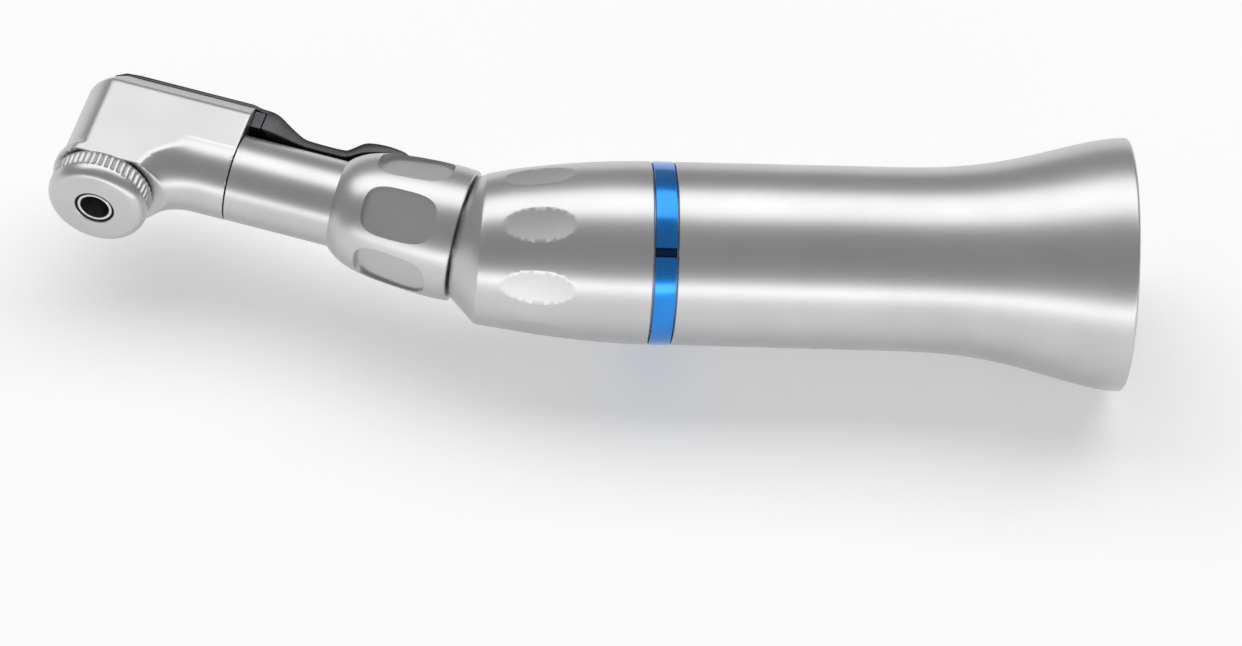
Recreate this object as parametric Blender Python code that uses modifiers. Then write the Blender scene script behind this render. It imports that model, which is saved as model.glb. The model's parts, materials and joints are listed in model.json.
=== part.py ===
"""Dental low-speed contra angle handpiece with a latch head, as separate pieces.

Metres, +Z up. The handpiece lies on its side. The body axis is X, with +X towards the motor.
The bur side faces -Y, and Z is the normal of the plane that holds the body, neck and head axes.
The origin is the centre of the rear rim. The sizes below are in millimetres, and the helpers
turn them into metres.
"""
import math

import bmesh
import bpy
from mathutils import Matrix, Vector

MM = 0.001

# Layout
BEND = math.radians(17)
ELBOW_X = -48.6
HEAD_AXIS = 32.9
BODY_STEPS = 36
RING_STEPS = 24
SMALL_STEPS = 20
HOLE_STEPS = 16
FIT = 0.05
SEAM = 0.1

# Body
RIM_R = 10.14
WAIST_R = 7.32
FLARE_START = -20.0
FLARE_POWER = 1.6
SHEATH_FRONT = -36.15
SHEATH_FRONT_R = 7.28
SHEATH_WALL = 1.0
RIM_ROUND = 0.3
SPIGOT_R = 6.6
SPIGOT_END = -33.0
RING_FRONT = -37.95
RING_REAR = -36.25
RING_SPLIT = 0.5
RING_R = 7.3
RING_SPLIT_ANGLE = math.radians(130)
SLEEVE_REAR = -38.05
SLEEVE_EDGE = -51.4
SLEEVE_EDGE_R = 5.98
SLEEVE_POWER = 1.8
SLEEVE_TAPER_START = -38.5
EDGE_TILT = math.radians(5)
EDGE_TILT_END = -49.0
SEAM_S = 4.1
SEAM_R = 4.95
CASE_BORE_R = 5.0
CASE_BORE_FRONT = -49.3
CASE_BORE_REAR = -30.0
DIMPLES = 8
DIMPLE_X = -47.0
DIMPLE_DEPTH = 0.2
DIMPLE_SEMI_AXES = (5.0, 14.0, 12.0)

# Bearing case and drive line
CASE_FRONT = -45.6
CASE_REAR = -33.3
CASE_LIP = 0.5
CASE_NOSE_R = 2.6
BEARING_R = 4.1
FRONT_BEARING = (-45.0, -42.6)
REAR_BEARING = (-37.2, -34.8)
SPACER_BORE_R = 3.3
BEARING_FIT = 0.02
DRIVE_SHAFT_R = 1.5
SHAFT_NOSE_R = 1.1
SPRING_COLLAR_R = 2.6
DOG_FRONT = -28.0
DOG_REAR = -20.2
DOG_R = 2.5
DOG_BORE_R = 1.56
FORK_HALF_WIDTH = 0.8
FORK_FLOOR = -21.9
DOG_PIN_X = -25.0
DOG_PIN_R = 0.4
DOG_TRAVEL = 1.5
SPRING_R = 2.1
SPRING_WIRE_R = 0.2
SPRING_TURNS = 3

# Motor socket
SOCKET_FRONT = -32.9
SOCKET_REAR = -7.0
SOCKET_R = 6.2
SOCKET_BORE_R = 5.0
SOCKET_FLOOR = -30.5
SOCKET_FLOOR_BORE_R = 3.4
GROOVE_DEPTH = 0.5
O_RING_X = -12.0
O_RING_SECTION_R = 0.3
SNAP_RING_X = -16.0
INDEX_PIN_X = -9.2

# Neck
NECK_R = 3.47
NECK_FRONT = 23.2
NECK_REAR = 3.6
NECK_BORE_R = 2.7
NUT_REAR = 4.3
NUT_FRONT = 14.6
NUT_R = 5.38
NUT_WIDEST = 5.9
NUT_COUNTERBORE_END = 12.6
NUT_SCALLOPS = 6
NUT_REST_TURN = math.radians(-6)
SCALLOP_S = 9.0
SCALLOP_HALF_LENGTH = 3.0
SCALLOP_HALF_WIDTH = 2.05
SCALLOP_CORNER_POWER = 0.6
SCALLOP_FLOOR_R = 4.62
SCALLOP_FLOOR_SLOPE = 0.11
STUB_END = 8.6
STUB_R = 4.1
STUB_BORE_R = 3.55

# Head, measured from the crossing of the neck and head axes
HEAD_HALF_WIDTH = 3.5
HEAD_R = 4.0
HEAD_REAR = 9.6
HEAD_TOP = 5.25
HEAD_CHAMFER_FROM = 3.9
HEAD_TOP_HALF_WIDTH = 2.7
COLLAR_R = 4.2
COLLAR_END = 4.05
HEAD_BORE_R = 3.15
HEAD_SEAT_R = 2.8
HEAD_SEAT_Z = -3.2
HEAD_NECK_BORE_R = 2.6
CAP_FLANGE_START = 4.22
CAP_KNURL_END = 5.8
CAP_END = 6.7
CAP_R = 4.1
CAP_FACE_R = 3.2
CAP_HOLE_R = 1.63
CAP_SPIGOT_R = 3.05
CAP_SPIGOT_BORE_R = 2.8
CAP_SPIGOT_START = 2.95
KNURLS = 48
KNURL_DEPTH = 0.16
TUBE_R = 1.43
TUBE_BORE_R = 1.2
TUBE_START = -4.4
TUBE_TAIL_R = 0.9

# Latch, swinging about an axis beside the head axis
LATCH_PIVOT_S = 27.0
LATCH_GUIDE_R = 5.15
PLATE_BOTTOM = 5.3
PLATE_TOP = 5.68
LATCH_SCREW_R = 0.6
LATCH_SCREW_HEAD_R = 1.1
COUNTERSINK_R = 1.2
SCREW_TIP = -3.5
GUIDE_HALF_WIDTH = 2.35
GUIDE_BOTTOM = 3.6
GUIDE_TOP = 5.22
GUIDE_LENGTH = 1.8

# Gears
TEETH = 12
ELBOW_GEAR_R = 2.9
ELBOW_TOE_R = 2.0
HEAD_GEAR_R = 2.25
HEAD_TOE_R = 1.75
SHAFT_R = 0.9

FINISHES = {
    "satin_steel": ((0.62, 0.62, 0.63), 0.32, 1.0),
    "polished_steel": ((0.70, 0.70, 0.71), 0.18, 1.0),
    "dark_steel": ((0.13, 0.13, 0.14), 0.30, 1.0),
    "blue_anodised": ((0.02, 0.22, 0.62), 0.25, 0.9),
    "bronze": ((0.55, 0.36, 0.17), 0.35, 1.0),
    "black_rubber": ((0.02, 0.02, 0.02), 0.60, 0.0),
}

for old in list(bpy.data.objects):
    bpy.data.objects.remove(old)

parts = bpy.data.collections.new("contra_angle_handpiece")
cutters = bpy.data.collections.new("cutters")
bpy.context.scene.collection.children.link(parts)
bpy.context.scene.collection.children.link(cutters)


# ---------------------------------------------------------------- helpers

def axis_empty(name, origin, x_axis, y_axis, z_axis):
    """Empty whose Z lies along a turning axis. Children are modelled in its frame."""
    empty = bpy.data.objects.new(name, None)
    frame = Matrix((x_axis, y_axis, z_axis)).transposed().to_4x4()
    frame.translation = Vector(origin) * MM
    empty.matrix_world = frame
    parts.objects.link(empty)
    return empty


def finish_material(name, finish):
    colour, roughness, metallic = FINISHES[finish]
    material = bpy.data.materials.new(name + "_" + finish)
    material.use_nodes = True
    shader = material.node_tree.nodes["Principled BSDF"]
    shader.inputs["Base Color"].default_value = (*colour, 1.0)
    shader.inputs["Roughness"].default_value = roughness
    shader.inputs["Metallic"].default_value = metallic
    return material


def add_object(name, mesh, parent, finish):
    """Link a mesh as a part, or as a cutter when it has no finish."""
    piece = bpy.data.objects.new(name, mesh)
    piece.parent = parent
    if finish is None:
        cutters.objects.link(piece)
        piece.hide_render = True
        piece.display_type = "WIRE"
    else:
        parts.objects.link(piece)
        mesh.materials.append(finish_material(name, finish))
    return piece


def signed_area(profile):
    following = profile[1:] + profile[:1]
    return sum(r1 * z2 - r2 * z1 for (z1, r1), (z2, r2) in zip(profile, following)) / 2


def turned(name, profile, parent, finish=None, steps=SMALL_STEPS):
    """Revolve (z, r) points about the parent's Z. A run between two axis points stays open."""
    if signed_area(profile) > 0:
        profile = profile[::-1]
    if profile[-1][1] == 0 and profile[0][1] > 0:
        profile = profile[-1:] + profile[:-1]
    mesh = bpy.data.meshes.new(name)
    count = len(profile)
    edges = [(i, i + 1) for i in range(count - 1)]
    if profile[0][1] > 0:
        edges.append((count - 1, 0))
    mesh.from_pydata([(r * MM, 0, z * MM) for z, r in profile], edges, [])
    piece = add_object(name, mesh, parent, finish)
    screw = piece.modifiers.new("turn", "SCREW")
    screw.steps = steps
    screw.render_steps = steps
    screw.use_merge_vertices = True
    screw.merge_threshold = 0.000001
    screw.use_smooth_shade = True
    return piece


def lofted(name, rings, parent, finish=None, wrap=False):
    """Skin rings of equal count. A wrapped loft joins its last ring to its first."""
    mesh = bpy.data.meshes.new(name)
    skin = bmesh.new()
    loops = [[skin.verts.new(Vector(point) * MM) for point in ring] for ring in rings]
    pairs = list(zip(loops, loops[1:]))
    if wrap:
        pairs.append((loops[-1], loops[0]))
    for low, high in pairs:
        for i in range(len(low)):
            j = (i + 1) % len(low)
            skin.faces.new((low[i], low[j], high[j], high[i]))
    if not wrap:
        skin.faces.new(loops[0])
        skin.faces.new(loops[-1])
    bmesh.ops.recalc_face_normals(skin, faces=skin.faces)
    skin.to_mesh(mesh)
    skin.free()
    mesh.shade_smooth()
    mesh.set_sharp_from_angle(angle=math.radians(30))
    return add_object(name, mesh, parent, finish)


def ellipsoid(name, semi_axes, parent, place):
    """Scaled sphere used as a cutter. Its lowest point in X is where place puts the origin."""
    mesh = bpy.data.meshes.new(name)
    shape = bmesh.new()
    bmesh.ops.create_uvsphere(shape, u_segments=96, v_segments=48, radius=1.0)
    bmesh.ops.translate(shape, vec=(1, 0, 0), verts=shape.verts)
    bmesh.ops.scale(shape, vec=Vector(semi_axes) * MM, verts=shape.verts)
    bmesh.ops.transform(shape, matrix=place, verts=shape.verts)
    shape.to_mesh(mesh)
    shape.free()
    return add_object(name, mesh, parent, None)


def boolean(piece, tool, operation="DIFFERENCE", solver="EXACT"):
    modifier = piece.modifiers.new(tool.name, "BOOLEAN")
    modifier.operation = operation
    modifier.object = tool
    modifier.solver = solver


def ring_profile(start, end, inner, outer, edge=0.0):
    """Rectangular ring section, with its outer corners chamfered by edge."""
    if edge == 0.0:
        return [(start, inner), (start, outer), (end, outer), (end, inner)]
    return [(start, inner), (start, outer - edge), (start + edge, outer),
            (end - edge, outer), (end, outer - edge), (end, inner)]


def rod_profile(start, end, radius, edge=0.0):
    if edge == 0.0:
        return [(start, 0), (start, radius), (end, radius), (end, 0)]
    return [(start, 0), (start, radius - edge), (start + edge, radius),
            (end - edge, radius), (end, radius - edge), (end, 0)]


def steps_between(start, end, count):
    return [start + (end - start) * i / (count - 1) for i in range(count)]


def box_cutter(name, low, high, parent):
    (x0, y0, z0), (x1, y1, z1) = low, high
    rings = [[(x0, y0, z), (x1, y0, z), (x1, y1, z), (x0, y1, z)] for z in (z0, z1)]
    return lofted(name, rings, parent)


# ---------------------------------------------------------------- axes

NECK_DIR = Vector((-math.cos(BEND), math.sin(BEND), 0))
BUR_DIR = Vector((-math.sin(BEND), -math.cos(BEND), 0))
UP = Vector((0, 0, 1))
ELBOW = Vector((ELBOW_X, 0, 0))
HEAD = ELBOW + NECK_DIR * HEAD_AXIS

body_axis = axis_empty("body_axis", (0, 0, 0), Vector((0, 1, 0)), UP, Vector((1, 0, 0)))
drive_axis = axis_empty("drive_axis", (0, 0, 0), Vector((0, 1, 0)), UP, Vector((1, 0, 0)))
neck_axis = axis_empty("neck_axis", ELBOW, BUR_DIR, UP, NECK_DIR)
neck_shaft_axis = axis_empty("neck_shaft_axis", ELBOW, BUR_DIR, UP, NECK_DIR)
nut_axis = axis_empty("nut_axis", ELBOW, BUR_DIR, UP, NECK_DIR)
head_axis = axis_empty("head_axis", HEAD, -NECK_DIR, UP, BUR_DIR)
chuck_axis = axis_empty("chuck_axis", HEAD, -NECK_DIR, UP, BUR_DIR)
latch_axis = axis_empty("latch_axis", ELBOW + NECK_DIR * LATCH_PIVOT_S, -NECK_DIR, UP, BUR_DIR)


# ---------------------------------------------------------------- bearings and gears

def bearing(name, start, end, inner, outer, parent, still_parent, balls=6):
    """Ball bearing: outer ring, inner ring, and a cage that carries its balls."""
    middle_r = (inner + outer) / 2
    middle_z = (start + end) / 2
    ball_r = 0.29 * (outer - inner)
    race_gap = 0.03
    cage_half = 0.5 * ball_r
    cage_depth = 0.35 * ball_r
    corner = 0.12
    turned(name + "_outer", ring_profile(start, end, middle_r + ball_r + race_gap, outer, corner),
           still_parent, "polished_steel")
    turned(name + "_inner", ring_profile(start, end, inner, middle_r - ball_r - race_gap),
           parent, "polished_steel")
    cage = turned(name + "_balls",
                  ring_profile(middle_z - cage_half, middle_z + cage_half,
                               middle_r - cage_depth, middle_r + cage_depth),
                  parent, "polished_steel")
    for i in range(balls):
        turn = 2 * math.pi * i / balls
        mesh = bpy.data.meshes.new(f"{name}_ball_{i}")
        ball = bmesh.new()
        bmesh.ops.create_uvsphere(ball, u_segments=6, v_segments=5, radius=ball_r * MM)
        centre = Vector((middle_r * math.cos(turn), middle_r * math.sin(turn), middle_z)) * MM
        bmesh.ops.translate(ball, vec=centre, verts=ball.verts)
        ball.to_mesh(mesh)
        ball.free()
        tool = add_object(f"{name}_ball_{i}", mesh, parent, None)
        boolean(cage, tool, "UNION")


def bevel_gear(name, parent, apex, side, cone_angle, pitch_r, toe_r, bore, back, phase,
               addendum=0.25, dedendum=0.35):
    """Straight bevel gear on the parent's Z. Its teeth face the apex; side is the way of its back."""
    def toothed_ring(radius):
        scale = radius / pitch_r
        distance = radius / math.sin(cone_angle)
        points = []
        for tooth in range(TEETH):
            centre = phase + 2 * math.pi * tooth / TEETH
            for offset, height in ((-0.32, -dedendum), (-0.14, addendum),
                                   (0.14, addendum), (0.32, -dedendum)):
                turn = centre + offset * 2 * math.pi / TEETH
                r = radius + height * scale * math.cos(cone_angle)
                z = distance * math.cos(cone_angle) - height * scale * math.sin(cone_angle)
                points.append((r * math.cos(turn), r * math.sin(turn), apex + side * z))
        return points

    def round_ring(radius, z):
        turns = [math.atan2(y, x) for x, y, _ in toothed_ring(pitch_r)]
        return [(radius * math.cos(t), radius * math.sin(t), apex + side * z) for t in turns]

    front = toe_r / math.tan(cone_angle) + 0.3
    rings = [toothed_ring(pitch_r), toothed_ring(toe_r), round_ring(bore, front),
             round_ring(bore, back), round_ring(0.8 * pitch_r, back)]
    return lofted(name, rings, parent, "polished_steel", wrap=True)


# ---------------------------------------------------------------- body

def flare_radius(x):
    t = max(0.0, (x - FLARE_START) / -FLARE_START) ** FLARE_POWER
    return WAIST_R + (RIM_R - WAIST_R) * t * t * (3 - 2 * t)


def make_rear_sheath():
    """Bell-ended outer sleeve, open at both ends."""
    outer = [(SHEATH_FRONT, SHEATH_FRONT_R)]
    outer += [(x, flare_radius(x)) for x in steps_between(FLARE_START, -2 * RIM_ROUND, 10)]
    outer += [(-RIM_ROUND * 0.3, RIM_R - RIM_ROUND * 0.4), (0, RIM_R - RIM_ROUND)]
    inner = [(0, RIM_R - SHEATH_WALL - RIM_ROUND)]
    inner += [(x, flare_radius(x) - SHEATH_WALL) for x in steps_between(-1.5, -15.0, 5)]
    inner += [(SPIGOT_END + FIT, SOCKET_R + FIT), (SPIGOT_END + FIT, SPIGOT_R + FIT),
              (SHEATH_FRONT, SPIGOT_R + FIT)]
    return turned("rear_sheath", outer + inner, body_axis, "satin_steel", BODY_STEPS)


def sleeve_radius(x):
    u = max(0.0, (SLEEVE_TAPER_START - x) / (SLEEVE_TAPER_START - SLEEVE_EDGE))
    return SHEATH_FRONT_R - (SHEATH_FRONT_R - SLEEVE_EDGE_R) * u ** SLEEVE_POWER


def tilted_ring(centre, tilt, radius):
    """Ring whose normal leans from the body axis towards the neck axis, in the body frame."""
    across = Vector((math.cos(tilt), 0, math.sin(tilt)))
    points = []
    for i in range(BODY_STEPS):
        turn = 2 * math.pi * i / BODY_STEPS
        points.append(centre + across * (radius * math.cos(turn))
                      + Vector((0, 1, 0)) * (radius * math.sin(turn)))
    return points


def make_front_grip_sleeve():
    """Grip sleeve: a turned barrel whose front runs into a wedge square to the neck."""
    seam_centre = Vector((SEAM_S * math.sin(BEND), 0, ELBOW_X - SEAM_S * math.cos(BEND)))
    rings = [tilted_ring(seam_centre, BEND, SEAM_R)]
    stations = steps_between(SLEEVE_EDGE, EDGE_TILT_END, 3)
    stations += steps_between(DIMPLE_X, SLEEVE_REAR, 5)
    for x in stations:
        fade = max(0.0, (EDGE_TILT_END - x) / (EDGE_TILT_END - SLEEVE_EDGE))
        rings.append(tilted_ring(Vector((0, 0, x)), EDGE_TILT * fade, sleeve_radius(x)))
    rings.append(tilted_ring(Vector((0, 0, SLEEVE_REAR)), 0, SPIGOT_R))
    rings.append(tilted_ring(Vector((0, 0, SPIGOT_END)), 0, SPIGOT_R))
    sleeve = lofted("front_grip_sleeve", rings, body_axis, "satin_steel")
    stub = turned("sleeve_stub", rod_profile(0.5, STUB_END, STUB_R, 0.2), neck_axis)
    boolean(sleeve, stub, "UNION", "MANIFOLD")
    case_bore = turned("case_bore", rod_profile(CASE_BORE_FRONT, CASE_BORE_REAR, CASE_BORE_R),
                       body_axis, steps=BODY_STEPS)
    stub_bore = turned("stub_bore", rod_profile(-1.5, 12.0, STUB_BORE_R), neck_axis,
                       steps=BODY_STEPS)
    boolean(sleeve, case_bore, solver="MANIFOLD")
    boolean(sleeve, stub_bore, solver="MANIFOLD")
    rise = sleeve_radius(DIMPLE_X + 0.5) - sleeve_radius(DIMPLE_X - 0.5)
    floor_r = sleeve_radius(DIMPLE_X) - DIMPLE_DEPTH
    floor = Matrix.Translation(Vector((floor_r, 0, DIMPLE_X)) * MM)
    lean = Matrix.Rotation(math.atan(rise), 4, "Y")
    for i in range(DIMPLES):
        turn = Matrix.Rotation(2 * math.pi * (i + 0.5) / DIMPLES, 4, "Z")
        tool = ellipsoid(f"dimple_{i}", DIMPLE_SEMI_AXES, body_axis, turn @ floor @ lean)
        boolean(sleeve, tool, solver="MANIFOLD")
    return sleeve


def open_ring(name, profile, parent, finish, split, angle):
    """Turned ring with one gap of the given width."""
    ring = turned(name, profile, parent, finish, RING_STEPS)
    far = max(r for _, r in profile) + 1.0
    low = (2.0, -split / 2, min(z for z, _ in profile) - 1.0)
    high = (far, split / 2, max(z for z, _ in profile) + 1.0)
    slot = box_cutter(name + "_slot", low, high, parent)
    slot.rotation_euler.z = angle
    boolean(ring, slot)
    return ring


def cross_hole(name, parent, x, profile, finish=None):
    """Turned piece or cutter that lies across the body axis, at x."""
    piece = turned(name, profile, parent, finish, HOLE_STEPS)
    piece.rotation_euler.y = math.pi / 2
    piece.location.z = x * MM
    return piece


def make_bearing_case():
    """Bronze case in the grip, with its two bearings, their spacer and the circlip."""
    bore = BEARING_R + FIT
    turned("bearing_case", [(CASE_FRONT, CASE_NOSE_R), (CASE_FRONT, CASE_BORE_R - FIT),
                            (CASE_REAR, CASE_BORE_R - FIT), (CASE_REAR, bore),
                            (CASE_FRONT + CASE_LIP, bore), (CASE_FRONT + CASE_LIP, CASE_NOSE_R)],
           body_axis, "bronze", BODY_STEPS)
    inner = DRIVE_SHAFT_R + BEARING_FIT
    bearing("front_bearing", *FRONT_BEARING, inner, BEARING_R, drive_axis, body_axis)
    bearing("rear_bearing", *REAR_BEARING, inner, BEARING_R, drive_axis, body_axis)
    turned("bearing_spacer", ring_profile(FRONT_BEARING[1] + SEAM, REAR_BEARING[0] - SEAM,
                                          SPACER_BORE_R, BEARING_R), body_axis, "satin_steel")
    clip_start = REAR_BEARING[1] + SEAM
    open_ring("case_circlip", ring_profile(clip_start, clip_start + 0.4, 3.4, BEARING_R),
              body_axis, "dark_steel", 1.2, math.radians(20))


def make_drive_shaft():
    """Shaft from the dog to the elbow gear, with a collar for the dog's spring."""
    nose, shoulder, rear = -47.3, -45.4, -23.2
    collar_start, collar_end, chamfer = -34.7, -34.0, 0.3
    shaft = [(nose, 0), (nose, SHAFT_NOSE_R), (shoulder, SHAFT_NOSE_R), (shoulder, DRIVE_SHAFT_R),
             (collar_start, DRIVE_SHAFT_R), (collar_start, SPRING_COLLAR_R),
             (collar_end, SPRING_COLLAR_R), (collar_end, DRIVE_SHAFT_R),
             (rear - chamfer, DRIVE_SHAFT_R), (rear, DRIVE_SHAFT_R - chamfer), (rear, 0)]
    drive_shaft = turned("drive_shaft", shaft, drive_axis, "satin_steel")
    hole = rod_profile(-3.0, 3.0, DOG_PIN_R + FIT)
    boolean(drive_shaft, cross_hole("shaft_pin_hole", drive_axis, DOG_PIN_X, hole))
    bevel_gear("drive_gear", drive_axis, ELBOW_X, 1, math.pi / 2 - BEND / 2, ELBOW_GEAR_R,
               ELBOW_TOE_R, SHAFT_NOSE_R + BEARING_FIT, 2.6, 0.0)


def make_drive_dog():
    """Sprung driver that the motor's fork turns. It slides on the shaft, on a cross pin."""
    chamfer, reach = 0.4, 4.0
    dog = turned("drive_dog", [(DOG_FRONT, DOG_BORE_R), (DOG_FRONT, DOG_R),
                               (DOG_REAR - chamfer, DOG_R), (DOG_REAR, DOG_R - chamfer),
                               (DOG_REAR, DOG_BORE_R)], drive_axis, "polished_steel")
    fork = box_cutter("dog_fork", (-reach, -FORK_HALF_WIDTH, FORK_FLOOR),
                      (reach, FORK_HALF_WIDTH, DOG_REAR + 1.2), drive_axis)
    boolean(dog, fork)
    slot_half = DOG_PIN_R + FIT
    slot_front = DOG_PIN_X - slot_half - FIT
    slot = box_cutter("dog_pin_slot", (-reach, -slot_half, slot_front),
                      (reach, slot_half, DOG_PIN_X + slot_half + DOG_TRAVEL + 2 * FIT),
                      drive_axis)
    boolean(dog, slot)
    cross_hole("dog_pin", drive_axis, DOG_PIN_X, rod_profile(-2.4, 2.4, DOG_PIN_R, 0.08),
               "satin_steel")


def make_dog_spring():
    coil = bpy.data.curves.new("dog_spring", "CURVE")
    coil.dimensions = "3D"
    coil.bevel_depth = SPRING_WIRE_R * MM
    coil.bevel_resolution = 2
    coil.use_fill_caps = True
    start, end, points_per_turn = -33.6, -28.3, 10
    count = SPRING_TURNS * points_per_turn + 1
    line = coil.splines.new("POLY")
    line.points.add(count - 1)
    for i, point in enumerate(line.points):
        turn = 2 * math.pi * i / points_per_turn
        z = start + (end - start) * i / (count - 1)
        point.co = (SPRING_R * math.cos(turn) * MM, SPRING_R * math.sin(turn) * MM, z * MM, 1)
    spring = bpy.data.objects.new("dog_spring", coil)
    spring.parent = drive_axis
    parts.objects.link(spring)
    coil.materials.append(finish_material("dog_spring", "polished_steel"))


def make_motor_socket():
    """Socket that takes the motor's nose, with its seal, snap ring and index pin."""
    bore, groove_r = SOCKET_BORE_R, SOCKET_BORE_R + GROOVE_DEPTH
    profile = [(SOCKET_FRONT, SOCKET_FLOOR_BORE_R), (SOCKET_FRONT, SOCKET_R),
               (SOCKET_REAR, SOCKET_R), (SOCKET_REAR, bore + 0.4), (SOCKET_REAR - 0.5, bore)]
    for x, half in ((O_RING_X, 0.6), (SNAP_RING_X, 0.4)):
        profile += [(x + half, bore), (x + half, groove_r), (x - half, groove_r), (x - half, bore)]
    profile += [(SOCKET_FLOOR, bore), (SOCKET_FLOOR, SOCKET_FLOOR_BORE_R)]
    socket = turned("socket_tube", profile, body_axis, "satin_steel", 28)
    hole = turned("index_hole", rod_profile(4.0, 7.0, 0.65), body_axis, steps=HOLE_STEPS)
    pin = turned("index_pin", rod_profile(4.5, 6.1, 0.6, 0.1), body_axis, "polished_steel",
                 HOLE_STEPS)
    for piece in (hole, pin):
        piece.rotation_euler.x = -math.pi / 2
        piece.location.z = INDEX_PIN_X * MM
    boolean(socket, hole)
    section = [(O_RING_X + O_RING_SECTION_R * math.cos(a),
                SOCKET_BORE_R + O_RING_SECTION_R / 2 + O_RING_SECTION_R * math.sin(a))
               for a in steps_between(0, 2 * math.pi, 7)[:-1]]
    turned("socket_o_ring", section, body_axis, "black_rubber", RING_STEPS)
    open_ring("socket_snap_ring",
              ring_profile(SNAP_RING_X - 0.3, SNAP_RING_X + 0.3, SOCKET_BORE_R - 0.1,
                           SOCKET_BORE_R + 0.4),
              body_axis, "dark_steel", 1.5, math.radians(-60))


# ---------------------------------------------------------------- neck

def nut_radius(s):
    """Bulb: widest near its rear, drawn in to the neck at the front."""
    u = (s - NUT_WIDEST) / (NUT_FRONT - NUT_WIDEST)
    if u < 0:
        rear_drop = 2.9
        return NUT_R - rear_drop * u ** 2
    slope_drop, nose_drop = 0.82, 0.98
    return NUT_R - slope_drop * u ** 1.7 - nose_drop * u ** 7


def rounded_power(value):
    return math.copysign(abs(value) ** SCALLOP_CORNER_POWER, value)


def make_lock_nut():
    """Bulb nut with six milled finger scallops and a counterbore for the sleeve's stub."""
    outer = [(s, nut_radius(s)) for s in steps_between(NUT_REAR, NUT_COUNTERBORE_END, 6)]
    outer += [(s, nut_radius(s)) for s in steps_between(13.4, NUT_FRONT, 3)]
    inner = [(NUT_FRONT, NECK_R + FIT), (NUT_COUNTERBORE_END, NECK_R + FIT),
             (NUT_COUNTERBORE_END, STUB_R + FIT), (NUT_REAR, STUB_R + FIT)]
    nut = turned("lock_nut", outer + inner, nut_axis, "satin_steel", BODY_STEPS)
    points, depth = 16, 3.0
    for i in range(NUT_SCALLOPS):
        rings = []
        for outward in (0.0, depth):
            ring = []
            for k in range(points):
                turn = 2 * math.pi * k / points
                along = SCALLOP_HALF_LENGTH * rounded_power(math.cos(turn))
                across = SCALLOP_HALF_WIDTH * rounded_power(math.sin(turn))
                floor = SCALLOP_FLOOR_R - SCALLOP_FLOOR_SLOPE * along
                ring.append((floor + outward, across, SCALLOP_S + along))
            rings.append(ring)
        tool = lofted(f"scallop_{i}", rings, nut_axis)
        tool.rotation_euler.z = 2 * math.pi * i / NUT_SCALLOPS + NUT_REST_TURN
        boolean(nut, tool)
    return nut


def make_neck():
    """Neck tube with its flange and nut ring, and the shaft in its two bushes."""
    flange_start, flange_end = STUB_END + FIT, STUB_END + 1.1
    mouth = 0.5
    tube = [(NECK_REAR, STUB_BORE_R - FIT), (flange_start, STUB_BORE_R - FIT),
            (flange_start, STUB_R - 0.1), (flange_end, STUB_R - 0.1), (flange_end, NECK_R),
            (NECK_FRONT, NECK_R), (NECK_FRONT, NECK_BORE_R + mouth / 2),
            (NECK_FRONT - mouth, NECK_BORE_R), (NECK_REAR, NECK_BORE_R)]
    turned("neck_tube", tube, neck_axis, "satin_steel", BODY_STEPS)
    open_ring("nut_ring", ring_profile(flange_end + SEAM, flange_end + 1.1, NECK_R + FIT, STUB_R),
              neck_axis, "dark_steel", 0.8, 0.0)
    turned("neck_rear_bush", ring_profile(5.2, 8.0, SHAFT_R + FIT, NECK_BORE_R - FIT),
           neck_axis, "bronze")
    turned("neck_front_bush", ring_profile(25.5, 28.4, SHAFT_R + FIT, HEAD_NECK_BORE_R - 2 * FIT),
           neck_axis, "bronze")
    turned("neck_shaft", rod_profile(1.3, 30.6, SHAFT_R), neck_shaft_axis, "satin_steel")
    bore = SHAFT_R + BEARING_FIT
    bevel_gear("elbow_gear", neck_shaft_axis, 0.0, 1, math.pi / 2 - BEND / 2, ELBOW_GEAR_R,
               ELBOW_TOE_R, bore, 2.9, math.pi / TEETH)
    bevel_gear("front_pinion", neck_shaft_axis, HEAD_AXIS, -1, math.pi / 4, HEAD_GEAR_R,
               HEAD_TOE_R, bore, 3.6, 0.0)


# ---------------------------------------------------------------- head

def head_outline(half_width, front_r, rear_x, count=16):
    """Round front on the head axis, flat sides, square rear."""
    spread = math.asin(min(1.0, half_width / front_r))
    front = [(-front_r * math.cos(a), front_r * math.sin(a))
             for a in steps_between(-spread, spread, count)]
    return front + [(rear_x, half_width), (rear_x, -half_width)]


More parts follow.
